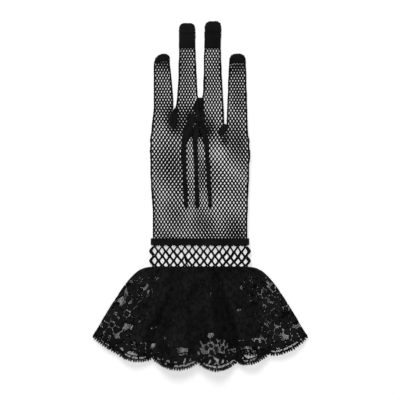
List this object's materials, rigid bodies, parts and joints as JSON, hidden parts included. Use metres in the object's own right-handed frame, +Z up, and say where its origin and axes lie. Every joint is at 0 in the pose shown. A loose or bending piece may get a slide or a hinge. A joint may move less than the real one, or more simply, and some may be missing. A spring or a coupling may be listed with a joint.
{
  "type": "short lace glove",
  "caption": "Short black fishnet dress glove with closely knitted fingertips, raised points on the back, a band at the wrist and a wide gathered lace ruffle; it lies flat on its palm.",
  "frame": {"origin": "middle of the glove's footprint, on the surface that it lies on", "axes": "+Y from the ruffle's hem to the fingertips, +Z up through the back of the hand, +X across the hand to the little finger"},
  "size_m": [0.1836, 0.2962, 0.0253],
  "materials": {
    "fishnet": "black nylon fishnet, matte",
    "close_knit": "black close knit, matte",
    "open_net": "black open diamond net, matte",
    "lace": "black floral lace, soft sheen"
  },
  "bodies": {
    "root": {"palm_net": "fishnet", "index_net": "fishnet", "middle_net": "fishnet", "ring_net": "fishnet", "little_net": "fishnet", "thumb_net": "fishnet", "index_cap": "close_knit", "middle_cap": "close_knit", "ring_cap": "close_knit", "little_cap": "close_knit", "thumb_cap": "close_knit", "point_index": "close_knit", "point_middle": "close_knit", "point_ring": "close_knit", "fork_index_middle": "close_knit", "fork_middle_ring": "close_knit", "fork_ring_little": "close_knit", "wrist_band": "close_knit", "open_net": "open_net", "lace_ruffle": "lace"}
  },
  "joints": []
}
